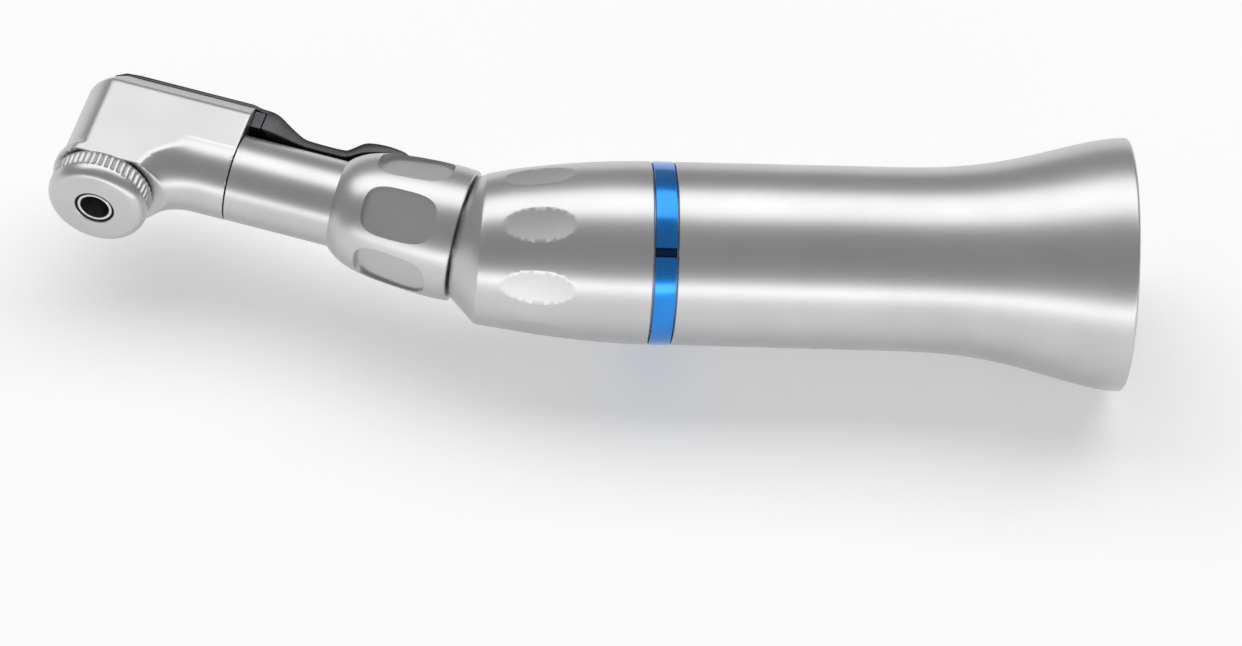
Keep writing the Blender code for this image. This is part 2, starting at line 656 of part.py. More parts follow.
def make_head_housing():
    """Flat-sided block on the neck, with a round barrel and collar on the bur side."""
    top = [(-HEAD_TOP, HEAD_TOP_HALF_WIDTH, 2.9), (-4.9, 2.93, 3.35), (-4.4, 3.2, 3.7),
           (-HEAD_CHAMFER_FROM, HEAD_HALF_WIDTH, HEAD_R), (0.0, HEAD_HALF_WIDTH, HEAD_R)]
    rings = [[(x, y, z) for x, y in head_outline(width, front, HEAD_REAR)]
             for z, width, front in top]
    housing = lofted("head_housing", rings, head_axis, "satin_steel")
    sections = ((-1.0, HEAD_R, HEAD_HALF_WIDTH), (2.2, HEAD_R, HEAD_HALF_WIDTH),
                (3.4, COLLAR_R, HEAD_HALF_WIDTH), (COLLAR_END, COLLAR_R, HEAD_HALF_WIDTH))
    barrel_rings = []
    for z, radius, half_width in sections:
        ring = []
        for i in range(BODY_STEPS):
            turn = 2 * math.pi * i / BODY_STEPS
            across = max(-half_width, min(half_width, radius * math.sin(turn)))
            ring.append((radius * math.cos(turn), across, z))
        barrel_rings.append(ring)
    barrel = lofted("head_barrel", barrel_rings, head_axis)
    neck = turned("head_neck", rod_profile(HEAD_AXIS - HEAD_REAR, HEAD_AXIS - 1.0,
                                           HEAD_HALF_WIDTH - 0.01), neck_axis, steps=BODY_STEPS)
    boolean(housing, barrel, "UNION", "MANIFOLD")
    boolean(housing, neck, "UNION", "MANIFOLD")
    bore_floor, above = -4.75, 6.0
    bore = [(bore_floor, 0), (bore_floor, HEAD_SEAT_R), (HEAD_SEAT_Z, HEAD_SEAT_R),
            (HEAD_SEAT_Z, HEAD_BORE_R), (above, HEAD_BORE_R), (above, 0)]
    holes = [turned("head_bore", bore, head_axis, steps=32),
             turned("head_neck_bore", rod_profile(20.0, HEAD_AXIS, HEAD_NECK_BORE_R), neck_axis,
                    steps=RING_STEPS),
             turned("bur_tail_hole", rod_profile(-above, -4.0, 1.3), head_axis),
             turned("latch_screw_hole", rod_profile(-above, -3.4, LATCH_SCREW_R + FIT),
                    latch_axis)]
    for hole in holes:
        boolean(housing, hole, solver="MANIFOLD")
    return housing


def make_head_cap():
    """Knurled cap that screws into the bur side and carries the lower bearing."""
    shoulder_z, shoulder_r, seat_z = 6.4, 3.75, 5.0
    sections = [(CAP_SPIGOT_START, CAP_SPIGOT_R, 0), (CAP_FLANGE_START, CAP_SPIGOT_R, 0),
                (CAP_FLANGE_START, CAP_R, 1), (CAP_KNURL_END, CAP_R, 1),
                (shoulder_z, shoulder_r, 0), (CAP_END, CAP_FACE_R, 0), (CAP_END, CAP_HOLE_R, 0),
                (seat_z, CAP_HOLE_R, 0), (seat_z, CAP_SPIGOT_BORE_R, 0),
                (CAP_SPIGOT_START, CAP_SPIGOT_BORE_R, 0)]
    rings = []
    for z, radius, knurled in sections:
        ring = []
        for i in range(2 * KNURLS):
            turn = math.pi * i / KNURLS
            r = radius - KNURL_DEPTH * knurled * (i % 2)
            ring.append((r * math.cos(turn), r * math.sin(turn), z))
        rings.append(ring)
    lofted("head_cap", rings, head_axis, "satin_steel", wrap=True)
    turned("cap_seal", ring_profile(COLLAR_END + 0.03, CAP_FLANGE_START - 0.04, HEAD_BORE_R, 3.45),
           head_axis, "black_rubber", RING_STEPS)


def make_chuck():
    """Tube that holds the bur, with its bevel gear and two bearings."""
    tube_end, tail_end = CAP_END - SEAM, TUBE_START + 1.0
    tube = [(tube_end, TUBE_BORE_R), (tube_end, TUBE_R), (TUBE_START, TUBE_R),
            (TUBE_START, TUBE_TAIL_R), (tail_end, TUBE_TAIL_R), (tail_end, TUBE_BORE_R)]
    turned("bur_tube", tube, chuck_axis, "polished_steel")
    bore = TUBE_R + BEARING_FIT
    bevel_gear("chuck_gear", chuck_axis, 0.0, -1, math.pi / 4, HEAD_GEAR_R, HEAD_TOE_R, bore, 3.1,
               math.pi / TEETH)
    bearing("upper_bearing", -4.6, -3.25, bore, HEAD_SEAT_R - FIT, chuck_axis, head_axis)
    bearing("lower_bearing", 3.2, 4.9, bore, CAP_SPIGOT_BORE_R - FIT, chuck_axis, head_axis)


# Stations along the latch lever: distance from the elbow, half width, underside, top
LATCH_STATIONS = (
    (35.5, 1.3, PLATE_BOTTOM, 5.5), (35.1, 2.0, PLATE_BOTTOM, 5.62),
    (34.2, 2.5, PLATE_BOTTOM, PLATE_TOP), (33.0, 2.64, PLATE_BOTTOM, PLATE_TOP),
    (23.6, 2.64, PLATE_BOTTOM, PLATE_TOP), (22.95, 2.45, PLATE_BOTTOM, PLATE_TOP),
    (22.9, 2.4, 3.62, PLATE_TOP), (21.9, 2.3, 3.62, PLATE_TOP), (21.2, 2.15, 3.62, 5.52),
    (20.4, 1.9, 3.62, 5.12), (19.6, 1.7, 3.62, 4.72), (18.9, 1.55, 3.62, 4.45),
    (18.0, 1.5, 3.62, 4.36), (15.7, 1.5, 3.62, 4.36), (15.1, 1.55, 3.72, 4.6),
    (14.5, 1.65, 4.1, 5.15), (14.0, 1.7, 4.4, 5.5), (13.1, 1.75, 4.72, 5.66),
    (12.0, 1.75, 4.98, 5.68), (10.9, 1.6, 5.16, 5.62), (10.1, 1.15, 5.28, 5.48))


def make_latch_lever():
    """Latch plate on the head's top, with its thumb lever along the neck."""
    rings = []
    for s, half_width, underside, top in LATCH_STATIONS:
        x = LATCH_PIVOT_S - s
        rings.append([(x, -half_width, -underside), (x, half_width, -underside),
                      (x, half_width, -top), (x, -half_width, -top)])
    lever = lofted("latch_lever", rings, latch_axis, "dark_steel")
    swing = turned("latch_swing_room", rod_profile(-PLATE_BOTTOM, 0, LATCH_GUIDE_R + SEAM),
                   latch_axis, steps=BODY_STEPS)
    boolean(lever, swing)
    hole_r = LATCH_SCREW_R + 0.12
    countersink = [(-6.0, 0), (-6.0, COUNTERSINK_R), (-PLATE_TOP, COUNTERSINK_R),
                   (-PLATE_BOTTOM, hole_r), (-5.0, hole_r), (-5.0, 0)]
    boolean(lever, turned("latch_countersink", countersink, latch_axis, steps=32))


def make_latch_screw():
    """Countersunk pivot screw, flush with the plate."""
    face = -PLATE_TOP + 0.02
    screw = turned("latch_screw", [(face, 0), (face, LATCH_SCREW_HEAD_R),
                                   (-PLATE_BOTTOM, LATCH_SCREW_R), (SCREW_TIP, LATCH_SCREW_R),
                                   (SCREW_TIP, 0)], latch_axis, "polished_steel", RING_STEPS)
    boolean(screw, box_cutter("screw_slot", (-2.0, -0.13, -6.0), (2.0, 0.13, -5.5), latch_axis))


def make_latch_guide():
    """Block behind the head that the lever swings round."""
    front = LATCH_PIVOT_S - (HEAD_AXIS - HEAD_REAR) + FIT
    rings = [[(x, -GUIDE_HALF_WIDTH, -GUIDE_BOTTOM), (x, GUIDE_HALF_WIDTH, -GUIDE_BOTTOM),
              (x, GUIDE_HALF_WIDTH, -GUIDE_TOP), (x, -GUIDE_HALF_WIDTH, -GUIDE_TOP)]
             for x in (front, front + GUIDE_LENGTH)]
    guide = lofted("latch_guide", rings, latch_axis, "dark_steel")
    boolean(guide, turned("latch_guide_round", rod_profile(-6.0, 0, LATCH_GUIDE_R), latch_axis,
                          steps=BODY_STEPS), "INTERSECT")


# ---------------------------------------------------------------- assembly

make_rear_sheath()
make_front_grip_sleeve()
open_ring("colour_ring", ring_profile(RING_FRONT, RING_REAR, SPIGOT_R + FIT, RING_R, 0.1),
          body_axis, "blue_anodised", RING_SPLIT, RING_SPLIT_ANGLE)
make_bearing_case()
make_drive_shaft()
make_drive_dog()
make_dog_spring()
make_motor_socket()
make_lock_nut()
make_neck()
make_head_housing()
make_head_cap()
make_chuck()
make_latch_lever()
make_latch_screw()
make_latch_guide()
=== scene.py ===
"""Looks of the contra angle handpiece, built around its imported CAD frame.

Lengths are in millimetres in each axis frame (body, neck, head, latch), and become metres in
the row frame when a mesh is made. The axis frames come from the record's joints.
"""
import json
import math

import bmesh
import bpy
import numpy as np
from mathutils import Matrix, Vector


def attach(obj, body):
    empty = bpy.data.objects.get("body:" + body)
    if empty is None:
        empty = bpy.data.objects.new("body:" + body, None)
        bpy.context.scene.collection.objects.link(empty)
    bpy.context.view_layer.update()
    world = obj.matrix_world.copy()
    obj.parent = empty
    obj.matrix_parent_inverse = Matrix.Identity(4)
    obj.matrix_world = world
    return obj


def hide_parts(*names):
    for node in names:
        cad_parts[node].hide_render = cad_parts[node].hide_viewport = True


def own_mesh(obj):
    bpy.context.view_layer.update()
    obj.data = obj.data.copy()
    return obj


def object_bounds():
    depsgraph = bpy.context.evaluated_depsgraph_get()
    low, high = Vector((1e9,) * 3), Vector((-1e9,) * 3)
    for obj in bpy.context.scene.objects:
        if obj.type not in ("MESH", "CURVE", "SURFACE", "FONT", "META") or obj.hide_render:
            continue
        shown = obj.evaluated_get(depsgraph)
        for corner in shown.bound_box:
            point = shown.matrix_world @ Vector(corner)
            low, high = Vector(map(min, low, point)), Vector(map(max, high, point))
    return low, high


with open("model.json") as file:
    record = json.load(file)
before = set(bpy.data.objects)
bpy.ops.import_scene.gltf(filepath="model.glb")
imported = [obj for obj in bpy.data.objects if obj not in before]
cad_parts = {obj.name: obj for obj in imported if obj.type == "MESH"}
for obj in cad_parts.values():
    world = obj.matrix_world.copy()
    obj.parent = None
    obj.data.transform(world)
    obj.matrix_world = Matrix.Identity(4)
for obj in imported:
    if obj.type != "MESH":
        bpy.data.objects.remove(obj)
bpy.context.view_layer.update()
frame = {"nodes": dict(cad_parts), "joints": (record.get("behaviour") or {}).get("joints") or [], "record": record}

MM = 0.001
STEPS = 192
FINE_STEPS = 256

# Body, along +X from the rear rim
RIM_R = 10.12
WAIST_R = 7.32
FLARE_START = -20.0
FLARE_POWER = 1.6
SHEATH_FRONT = -36.15
SHEATH_FRONT_R = 7.28
SHEATH_WALL = 1.0
RIM_ROUND = 0.3
SPIGOT_R = 6.6
SPIGOT_END = -33.0
SLEEVE_REAR = -38.05
SLEEVE_EDGE = -51.4
SLEEVE_EDGE_R = 5.98
SLEEVE_POWER = 1.8
SLEEVE_TAPER_START = -38.5
EDGE_TILT = math.radians(5)
EDGE_TILT_END = -49.0
EDGE_ROUND = 0.14
SEAM_S = 4.1
SEAM_R = 4.95
SEAM_CHAMFER = 0.06
CASE_BORE_R = 5.0
CASE_BORE_FRONT = -49.3
CASE_BORE_REAR = -30.0
STUB_BORE_R = 3.55
DIMPLES = 8
DIMPLE_X = -47.0
DIMPLE_DEPTH = 0.2
DIMPLE_SEMI_AXES = (5.0, 14.0, 12.0)
RING_FRONT = -37.95
RING_REAR = -36.25
RING_R = 7.3
RING_BORE_R = 6.65
RING_SPLIT_ANGLE = math.radians(130)
NOTCH_HALF_WIDTH = 0.3
NOTCH_FLOOR_R = 7.05

# Motor socket and dog, along the body
SOCKET_FRONT = -32.7
SOCKET_REAR = -7.0
SOCKET_R = 6.2
SOCKET_BORE_R = 5.0
SOCKET_FLOOR = -30.5
SOCKET_FLOOR_BORE_R = 3.4
GROOVE_DEPTH = 0.5
O_RING_X = -12.0
O_RING_SECTION_R = 0.3
SNAP_RING_X = -16.0
DOG_FRONT = -28.0
DOG_REAR = -20.2
DOG_R = 2.5
DOG_BORE_R = 1.56
FORK_HALF_WIDTH = 0.8
FORK_FLOOR = -21.9
PIN_SLOT = (-25.5, -22.95)
PIN_SLOT_HALF_WIDTH = 0.45
SPRING_SPAN = (-33.6, -28.3)
SPRING_TURNS = 3
SPRING_R = 2.1
SPRING_WIRE_R = 0.2

# Neck, along the neck from the elbow
NECK_R = 3.47
NECK_FRONT = 23.2
NECK_REAR = 3.6
NECK_BORE_R = 2.7
NUT_REAR = 4.3
NUT_FRONT = 14.6
NUT_R = 5.38
NUT_WIDEST = 5.9
NUT_COUNTERBORE_END = 12.6
NUT_SCALLOPS = 6
NUT_REST_TURN = math.radians(-6)
SCALLOP_S = 9.0
SCALLOP_HALF_LENGTH = 3.0
SCALLOP_HALF_WIDTH = 2.05
SCALLOP_CORNER_POWER = 0.6
SCALLOP_FLOOR_R = 4.62
SCALLOP_FLOOR_SLOPE = 0.11

# Head, from the crossing of the neck and head axes
HEAD_HALF_WIDTH = 3.5
HEAD_R = 4.0
HEAD_REAR = 9.6
HEAD_TOP = 5.25
CHAMFER_FROM = 3.9
HEAD_BEVEL = 0.8
NOSE_DROP = 1.1
NECK_FILLET = 3.4
FILLET_CUTOFF = 3.0
COLLAR_R = 4.2
COLLAR_START = 3.5
COLLAR_END = 4.05
HEAD_BORE_R = 3.15
HEAD_SEAT_R = 2.8
HEAD_SEAT_HEIGHT = 3.2
HEAD_BORE_TOP = 4.75
HEAD_NECK_BORE_R = 2.6
HEAD_CELL = 0.12
CAP_START = 4.22
CAP_KNURL_END = 5.6
CAP_END = 6.7
CAP_R = 4.1
CAP_FACE_R = 3.2
CAP_HOLE_R = 1.63
CAP_SPIGOT_START = 2.95
CAP_SPIGOT_R = 3.05
CAP_SPIGOT_BORE_R = 2.8
CAP_SEAT = 5.0
KNURLS = 48
KNURL_DEPTH = 0.17
TUBE_R = 1.43
TUBE_BORE_R = 1.2
TUBE_START = -4.4
TUBE_TAIL_R = 0.9

# Latch, from its pivot
PLATE_BOTTOM = 5.3
PLATE_TOP = 5.68
SWING_GAP = 0.1
COUNTERSINK_R = 1.2
SCREW_R = 0.6
SCREW_HEAD_R = 1.1
SCREW_TIP = -3.5
GUIDE_R = 5.15
GUIDE_HALF_WIDTH = 2.35
GUIDE_BOTTOM = 3.6
GUIDE_TOP = 5.22
GUIDE_LENGTH = 1.8

# Camera and floor
VIEW_AZIMUTH = math.radians(-6)
VIEW_ELEVATION = math.radians(50)
VIEW_ROLL = math.radians(6)
VIEW_DISTANCE = 600 * MM
VIEW_WIDTH = 98.6 * MM
VIEW_CENTRE = (-0.041, 0.0, 0.0)
VIEW_OFFSET = (0.00079, -0.00564)
SENSOR = 36.0


# ---------------------------------------------------------------- axis frames

def joint(name):
    return next(j for j in frame["joints"] if j["name"] == name)


def axis_frame(origin, x_axis, y_axis, z_axis):
    matrix = Matrix((x_axis, y_axis, z_axis)).transposed().to_4x4()
    matrix.translation = origin
    return matrix


UP = Vector((0, 0, 1))
ELBOW = Vector(joint("neck_spin")["pos_m"])
NECK_DIR = -Vector(joint("neck_spin")["axis"])
HEAD = Vector(joint("chuck_spin")["pos_m"])
BUR_DIR = Vector(joint("chuck_spin")["axis"])
PIVOT = Vector(joint("latch_swing")["pos_m"])
BEND = math.acos(-NECK_DIR.x)
ELBOW_X = ELBOW.x / MM
PIVOT_S = (PIVOT - ELBOW).length / MM
HEAD_S = (HEAD - ELBOW).length / MM

BODY_FRAME = axis_frame((0, 0, 0), Vector((0, 1, 0)), UP, Vector((1, 0, 0)))
NECK_FRAME = axis_frame(ELBOW, BUR_DIR, UP, NECK_DIR)
HEAD_FRAME = axis_frame(HEAD, -NECK_DIR, UP, BUR_DIR)
LATCH_FRAME = axis_frame(PIVOT, -NECK_DIR, UP, BUR_DIR)


# ---------------------------------------------------------------- mesh helpers

def spread(start, end, count):
    return [start + (end - start) * i / (count - 1) for i in range(count)]


def link_mesh(name, mesh, sharp=32):
    piece = bpy.data.objects.new(name, mesh)
    bpy.context.scene.collection.objects.link(piece)
    mesh.shade_smooth()
    mesh.set_sharp_from_angle(angle=math.radians(sharp))
    return piece


def skin(name, rings, place, closed=False, sharp=32):
    """Quads between rings of equal count. An open run of rings is capped at both ends."""
    count = len(rings[0])
    points = np.array(rings, float).reshape(-1, 3) * MM
    matrix = np.array(place)
    points = points @ matrix[:3, :3].T + matrix[:3, 3]
    total = len(rings)
    faces = []
    for k in range(total if closed else total - 1):
        low, high = k * count, (k + 1) % total * count
        faces += [(low + i, low + (i + 1) % count, high + (i + 1) % count, high + i)
                  for i in range(count)]
    if not closed:
        faces += [tuple(range(count)), tuple((total - 1) * count + i for i in range(count))]
    mesh = bpy.data.meshes.new(name)
    mesh.from_pydata(points.tolist(), [], faces)
    tidy = bmesh.new()
    tidy.from_mesh(mesh)
    bmesh.ops.recalc_face_normals(tidy, faces=tidy.faces)
    tidy.to_mesh(mesh)
    tidy.free()
    return link_mesh(name, mesh, sharp)


def soften(profile, radius, segments=3):
    """Round every corner of a closed (z, r) profile whose sides are long enough."""
    result = []
    count = len(profile)
    for i in range(count):
        before, corner, after = (Vector(profile[(i + k) % count]) for k in (-1, 0, 1))
        to_before, to_after = before - corner, after - corner
        reach = min(radius, 0.4 * to_before.length, 0.4 * to_after.length)
        turn = math.pi - to_before.angle(to_after)
        if turn < math.radians(15):
            result.append(tuple(corner))
            continue
        start = corner + to_before.normalized() * reach
        end = corner + to_after.normalized() * reach
        for t in spread(0, 1, segments + 1):
            point = start * (1 - t) ** 2 + corner * (2 * t * (1 - t)) + end * t ** 2
            result.append(tuple(point))
    return result


def turned(name, profile, place, steps=STEPS, radius_at=None):
    """Closed (z, r) profile swept round Z. radius_at(z, r, angle) may reshape it."""
    rings = []
    for z, r in profile:
        ring = []
        for i in range(steps):
            turn = 2 * math.pi * i / steps
            radius = radius_at(z, r, turn) if radius_at else r
            ring.append((radius * math.cos(turn), radius * math.sin(turn), z))
        rings.append(ring)
    return skin(name, rings, place, closed=True)


def turned_solid(name, profile, place, steps=STEPS):
    """Solid of revolution with flat ends, from (z, r) points."""
    rings = [[(r * math.cos(2 * math.pi * i / steps), r * math.sin(2 * math.pi * i / steps), z)
              for i in range(steps)] for z, r in profile]
    return skin(name, rings, place)


def bowl(name, semi_axes, place):
    """Lower end of an ellipsoid, open in X, whose lowest point is where place puts the origin."""
    deep, wide, long = semi_axes
    rings = []
    for lift in spread(math.radians(0.6), math.radians(30), 16):
        rings.append([(deep * (1 - math.cos(lift)), wide * math.sin(lift) * math.cos(turn),
                       long * math.sin(lift) * math.sin(turn))
                      for turn in spread(0, 2 * math.pi, 97)[:-1]])
    return skin(name, rings, place)


def box(name, low, high, place):
    """Block between two corners, as a cutter or as a blank."""
    (x0, y0, z0), (x1, y1, z1) = low, high
    rings = [[(x0, y0, z), (x1, y0, z), (x1, y1, z), (x0, y1, z)] for z in (z0, z1)]
    return skin(name, rings, place)


def cut(piece, tool, operation="DIFFERENCE"):
    """Apply a Boolean and discard its tool."""
    modifier = piece.modifiers.new("cut", "BOOLEAN")
    modifier.operation = operation
    modifier.object = tool
    modifier.solver = "MANIFOLD"
    evaluated = piece.evaluated_get(bpy.context.evaluated_depsgraph_get())
    mesh = bpy.data.meshes.new_from_object(evaluated)
    piece.modifiers.clear()
    piece.data = mesh
    mesh.shade_smooth()
    mesh.set_sharp_from_angle(angle=math.radians(20))
    bpy.data.objects.remove(tool)
    return piece


def smooth_line(stations, samples):
    """Catmull-Rom samples through rows of numbers, spaced by their first column."""
    rows = [Vector(row) for row in stations]
    rows = [rows[0] * 2 - rows[1]] + rows + [rows[-1] * 2 - rows[-2]]
    result = []
    for k in range(1, len(rows) - 2):
        a, b, c, d = rows[k - 1:k + 3]
        for i in range(samples):
            t = i / samples
            result.append(0.5 * (2 * b + (c - a) * t + (2 * a - 5 * b + 4 * c - d) * t * t
                                 + (3 * b - a - 3 * c + d) * t ** 3))
    result.append(rows[-2])
    return result


def pulled(distance, points, rounds, reach):
    """Newton steps along the slope of distance, each at most reach long."""
    probe = 0.01
    for _ in range(rounds):
        value = distance(points)
        slope = np.stack([(distance(points + probe * axis) - distance(points - probe * axis))
                          / (2 * probe) for axis in np.eye(3)], -1)
        steep = np.maximum((slope ** 2).sum(-1), 0.25)
        move = -(value / steep)[:, None] * slope
        length = np.maximum(np.linalg.norm(move, axis=-1), 1e-9)
        points = points + move * np.minimum(1, reach / length)[:, None]
    return points


def evened(points, quads):
    """Each point moved to the mean centre of the quads round it."""
    centres = points[quads].mean(axis=1)
    total = np.zeros_like(points)
    share = np.zeros(len(points))
    for corner in range(4):
        np.add.at(total, quads[:, corner], centres)
        np.add.at(share, quads[:, corner], 1)
    return total / share[:, None]


def surface_net(name, distance, low, high, cell, place):
    """Mesh of distance(x, y, z) = 0: one point per crossed cell, pulled onto the surface."""
    sizes = [int(math.ceil((b - a) / cell)) + 1 for a, b in zip(low, high)]
    axes = [low[k] + cell * np.arange(sizes[k]) for k in range(3)]
    grid = np.stack(np.meshgrid(*axes, indexing="ij"), -1)
    inside = distance(grid) < 0
    cells = [inside[i:sizes[0] - 1 + i, j:sizes[1] - 1 + j, k:sizes[2] - 1 + k]
             for i in (0, 1) for j in (0, 1) for k in (0, 1)]
    filled = np.sum(cells, axis=0)
    crossed = (filled > 0) & (filled < 8)
    index = -np.ones(crossed.shape, int)
    index[crossed] = np.arange(crossed.sum())
    points = np.array(low) + cell * (np.argwhere(crossed) + 0.5)
    faces = []
    for axis in range(3):
        u, v = [k for k in range(3) if k != axis]
        first = np.swapaxes(inside, 0, axis)
        changed = np.swapaxes(first[1:] != first[:-1], 0, axis)
        for i, j, k in np.argwhere(changed):
            spot = [i, j, k]
            quad = []
            for du, dv in ((0, 0), (1, 0), (1, 1), (0, 1)):
                corner = list(spot)
                corner[u] -= du
                corner[v] -= dv
                quad.append(int(index[tuple(corner)]))
            if not inside[i, j, k]:
                quad.reverse()
            if axis == 1:
                quad.reverse()
            faces.append(quad)
    quads = np.array(faces)
    for _ in range(4):
        points = pulled(distance, evened(points, quads), 4, 0.4 * cell)
    matrix = np.array(place)
    points = points * MM @ matrix[:3, :3].T + matrix[:3, 3]
    mesh = bpy.data.meshes.new(name)
    mesh.from_pydata(points.tolist(), [], faces)
    return link_mesh(name, mesh, 35)


def smooth_min(a, b, reach):
    blend = np.clip(0.5 + 0.5 * (b - a) / reach, 0, 1)
    return b * (1 - blend) + a * blend - reach * blend * (1 - blend)


def smooth_max(a, b, reach):
    return -smooth_min(-a, -b, reach)


# ---------------------------------------------------------------- materials

def new_material(name, colour, roughness, metallic):
    material = bpy.data.materials.new(name)
    material.use_nodes = True
    shader = material.node_tree.nodes["Principled BSDF"]
    shader.inputs["Base Color"].default_value = (*colour, 1)
    shader.inputs["Roughness"].default_value = roughness
    shader.inputs["Metallic"].default_value = metallic
    return material, shader


def noise_node(tree, scale, detail=2.0, stretch=(1, 1, 1)):
    place = tree.nodes.new("ShaderNodeTexCoord")
    mapping = tree.nodes.new("ShaderNodeMapping")
    mapping.inputs["Scale"].default_value = stretch
    noise = tree.nodes.new("ShaderNodeTexNoise")
    noise.inputs["Scale"].default_value = scale
    noise.inputs["Detail"].default_value = detail
    tree.links.new(place.outputs["Object"], mapping.inputs["Vector"])
    tree.links.new(mapping.outputs["Vector"], noise.inputs["Vector"])
    return noise


def ranged(tree, source, low, high):
    spread_node = tree.nodes.new("ShaderNodeMapRange")
    spread_node.inputs["From Min"].default_value = 0.3
    spread_node.inputs["From Max"].default_value = 0.7
    spread_node.inputs["To Min"].default_value = low
    spread_node.inputs["To Max"].default_value = high
    tree.links.new(source, spread_node.inputs["Value"])
    return spread_node.outputs["Result"]


def metal(name, dark, light, roughness, grain_scale, grain_depth, stretch=(1, 1, 1), coat=0.0):
    """Metal with fine grain in its relief, and soft drifts in its tone and roughness."""
    material, shader = new_material(name, light, sum(roughness) / 2, 1.0)
    tree = material.node_tree
    drift = noise_node(tree, 180.0, 3.0)
    ramp = tree.nodes.new("ShaderNodeValToRGB")
    ramp.color_ramp.elements[0].position = 0.3
    ramp.color_ramp.elements[0].color = (*dark, 1)
    ramp.color_ramp.elements[1].position = 0.7
    ramp.color_ramp.elements[1].color = (*light, 1)
    tree.links.new(drift.outputs["Fac"], ramp.inputs["Fac"])
    tree.links.new(ramp.outputs["Color"], shader.inputs["Base Color"])
    grain = noise_node(tree, grain_scale, 3.0, stretch)
    tree.links.new(ranged(tree, grain.outputs["Fac"], *roughness), shader.inputs["Roughness"])
    bump = tree.nodes.new("ShaderNodeBump")
    bump.inputs["Strength"].default_value = 0.25
    bump.inputs["Distance"].default_value = grain_depth
    tree.links.new(grain.outputs["Fac"], bump.inputs["Height"])
    tree.links.new(bump.outputs["Normal"], shader.inputs["Normal"])
    shader.inputs["Coat Weight"].default_value = coat
    shader.inputs["Coat Roughness"].default_value = 0.08
    return material


def rubber(name):
    material, shader = new_material(name, (0.02, 0.02, 0.02), 0.6, 0.0)
    tree = material.node_tree
    grain = noise_node(tree, 9000.0)
    tree.links.new(ranged(tree, grain.outputs["Fac"], 0.5, 0.72), shader.inputs["Roughness"])
    return material


SATIN = metal("satin_steel", (0.55, 0.55, 0.555), (0.60, 0.60, 0.605), (0.30, 0.38), 14000.0,
              0.000004)
BRIGHT = metal("polished_steel", (0.62, 0.62, 0.63), (0.68, 0.68, 0.69), (0.14, 0.24), 6000.0,
               0.000002)
DARK = metal("gunmetal_steel", (0.05, 0.05, 0.053), (0.085, 0.085, 0.09), (0.24, 0.38), 5000.0,
             0.000003)
BLUE = metal("blue_anodised", (0.01, 0.20, 0.66), (0.02, 0.28, 0.80), (0.18, 0.28), 9000.0,
             0.000002, coat=0.5)
# Dark navy painted shade: stands in for the shadow in the colour ring's split gap
SPLIT_SHADE = metal("painted_split_shade", (0.01, 0.03, 0.10), (0.015, 0.04, 0.13), (0.30, 0.40), 9000.0,
             0.000002)
BRONZE = metal("turned_bronze", (0.50, 0.31, 0.14), (0.58, 0.38, 0.18), (0.25, 0.38), 7000.0,
               0.000003)
RUBBER = rubber("seal_rubber")


def dress(piece, body, material, slot, *nodes):
    piece.data.materials.clear()
    piece.data.materials.append(material)
    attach(piece, body)
    if nodes:
        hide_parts(*nodes)
    return piece


# ---------------------------------------------------------------- body

def flare_radius(x):
    t = max(0.0, (x - FLARE_START) / -FLARE_START) ** FLARE_POWER
    return WAIST_R + (RIM_R - WAIST_R) * t * t * (3 - 2 * t)


def make_rear_sheath():
    """Bell-ended outer sleeve with a rounded rim, open at both ends."""
    edge = 0.08
    outer = [(SHEATH_FRONT, SHEATH_FRONT_R - edge), (SHEATH_FRONT + edge, SHEATH_FRONT_R)]
    waist_growth = (WAIST_R - SHEATH_FRONT_R) / 16
    outer += [(x, SHEATH_FRONT_R + waist_growth * (x + 36)) for x in spread(-35.0, -21.0, 8)]
    outer += [(x, flare_radius(x)) for x in spread(FLARE_START, -2 * RIM_ROUND, 60)]
    for turn in spread(0, math.pi / 2, 6):
        outer.append((-RIM_ROUND + RIM_ROUND * math.sin(turn),
                      RIM_R - RIM_ROUND + RIM_ROUND * math.cos(turn)))
    lip = RIM_R - SHEATH_WALL - RIM_ROUND
    inner = [(0, lip + 0.1), (-0.1, lip)]
    inner += [(x, flare_radius(x) - SHEATH_WALL) for x in spread(-1.5, -15.0, 30)]
    step_x, spigot_bore_r = SPIGOT_END + 0.2, SPIGOT_R + 0.05
    inner += [(step_x, SOCKET_R + 0.1), (step_x, spigot_bore_r), (SHEATH_FRONT, spigot_bore_r)]
    piece = turned("rear_sheath_shell", outer + inner, BODY_FRAME, FINE_STEPS)
    dress(piece, "handpiece", SATIN, "satin_steel", "rear_sheath")


def sleeve_radius(x):
    u = max(0.0, (SLEEVE_TAPER_START - x) / (SLEEVE_TAPER_START - SLEEVE_EDGE))
    return SHEATH_FRONT_R - (SHEATH_FRONT_R - SLEEVE_EDGE_R) * u ** SLEEVE_POWER


def tilted_ring(centre, tilt, radius):
    """Ring whose normal leans from the body axis towards the neck axis, in the body frame."""
    across = Vector((math.cos(tilt), 0, math.sin(tilt)))
    ring = []
    for i in range(STEPS):
        turn = 2 * math.pi * i / STEPS
        ring.append(centre + across * (radius * math.cos(turn))
                    + Vector((0, radius * math.sin(turn), 0)))
    return ring


def barrel_ring(x):
    fade = max(0.0, (EDGE_TILT_END - x) / (EDGE_TILT_END - SLEEVE_EDGE))
    return tilted_ring(Vector((0, 0, x)), EDGE_TILT * fade, sleeve_radius(x))


